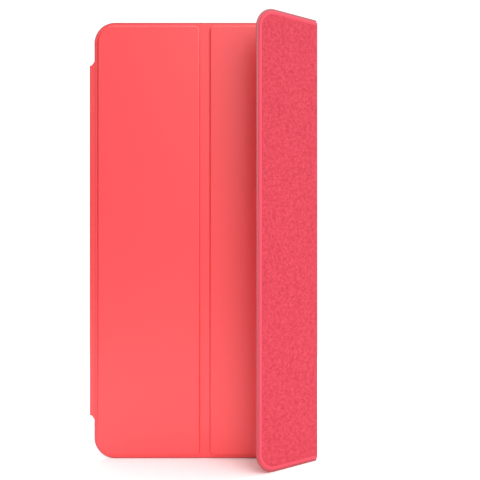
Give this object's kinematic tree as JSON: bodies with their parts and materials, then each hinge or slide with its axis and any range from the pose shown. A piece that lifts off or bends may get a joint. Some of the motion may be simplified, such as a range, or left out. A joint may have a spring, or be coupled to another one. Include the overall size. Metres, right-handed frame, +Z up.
{
  "type": "folding tablet cover",
  "caption": "Folding magnetic cover for a small tablet: stiff panels joined by living-hinge folds hang from a magnetic spine, smooth skin outside and soft lining inside.",
  "frame": {"origin": "centre of the spine's flat contact face, which lies on the tablet's left side", "axes": "+X out of the contact face into the tablet, +Z up along the spine, -Y towards the viewer of the screen, which the cover's panels lie in front of"},
  "size_m": [0.1036, 0.0274, 0.1992],
  "materials": {
    "outer_skin": "satin moulded polyurethane film, coral red",
    "lining": "brushed microfibre, coral red",
    "contact_pad": "microfibre, coral red",
    "board": "glass-fibre laminate sheet",
    "carrier": "moulded nylon",
    "magnet": "nickel-plated magnet",
    "steel": "cold-rolled steel strip"
  },
  "bodies": {
    "spine": {"spine_core": "carrier", "spine_outer_wrap": "outer_skin", "spine_contact_pad": "contact_pad", "spine_magnets": "magnet", "spine_keeper_strip": "steel"},
    "flap": {"flap_outer_skin": "outer_skin", "flap_lining": "lining"},
    "panel_1": {"panel_1_outer_skin": "outer_skin", "panel_1_board": "board", "panel_1_lining": "lining", "panel_1_steel_strip": "steel"},
    "fold_1": {"fold_1_outer_skin": "outer_skin", "fold_1_lining": "lining"},
    "panel_2": {"panel_2_outer_skin": "outer_skin", "panel_2_board": "board", "panel_2_lining": "lining"},
    "fold_2": {"fold_2_outer_skin": "outer_skin", "fold_2_lining": "lining"},
    "panel_3": {"panel_3_outer_skin": "outer_skin", "panel_3_board": "board", "panel_3_lining": "lining", "panel_3_closure_magnets": "magnet", "panel_3_sensor_magnet": "magnet", "panel_3_keeper_strip": "steel"}
  },
  "joints": [
    {"name": "cover_swing", "type": "hinge", "parent": "spine", "child": "flap", "pos_m": [-0.0044, 0.0005, 0], "axis": [0, 0, -1], "range_deg": [0, 179.99]},
    {"name": "cover_swing_outer", "type": "hinge", "parent": "flap", "child": "panel_1", "pos_m": [-0.0044, -0.0042, 0], "axis": [0, 0, -1], "range_deg": [0, 179.99]},
    {"name": "first_fold", "type": "hinge", "parent": "panel_1", "child": "fold_1", "pos_m": [0.0462, -0.0042, 0], "axis": [0, 0, -1], "range_deg": [0, 62]},
    {"name": "first_fold_far", "type": "hinge", "parent": "fold_1", "child": "panel_2", "pos_m": [0.0494, -0.0042, 0], "axis": [0, 0, -1], "range_deg": [0, 62]},
    {"name": "second_fold", "type": "hinge", "parent": "panel_2", "child": "fold_2", "pos_m": [0.0974, -0.0042, 0], "axis": [0, 0, -1], "range_deg": [-74.4, 15.6]},
    {"name": "second_fold_far", "type": "hinge", "parent": "fold_2", "child": "panel_3", "pos_m": [0.09826, -0.00728, 0], "axis": [0, 0, -1], "range_deg": [-74.4, 15.6]}
  ],
  "couplings": [
    {"joint": "cover_swing_outer", "follows": "cover_swing", "ratio": 1},
    {"joint": "first_fold_far", "follows": "first_fold", "ratio": 1},
    {"joint": "second_fold_far", "follows": "second_fold", "ratio": 1}
  ]
}
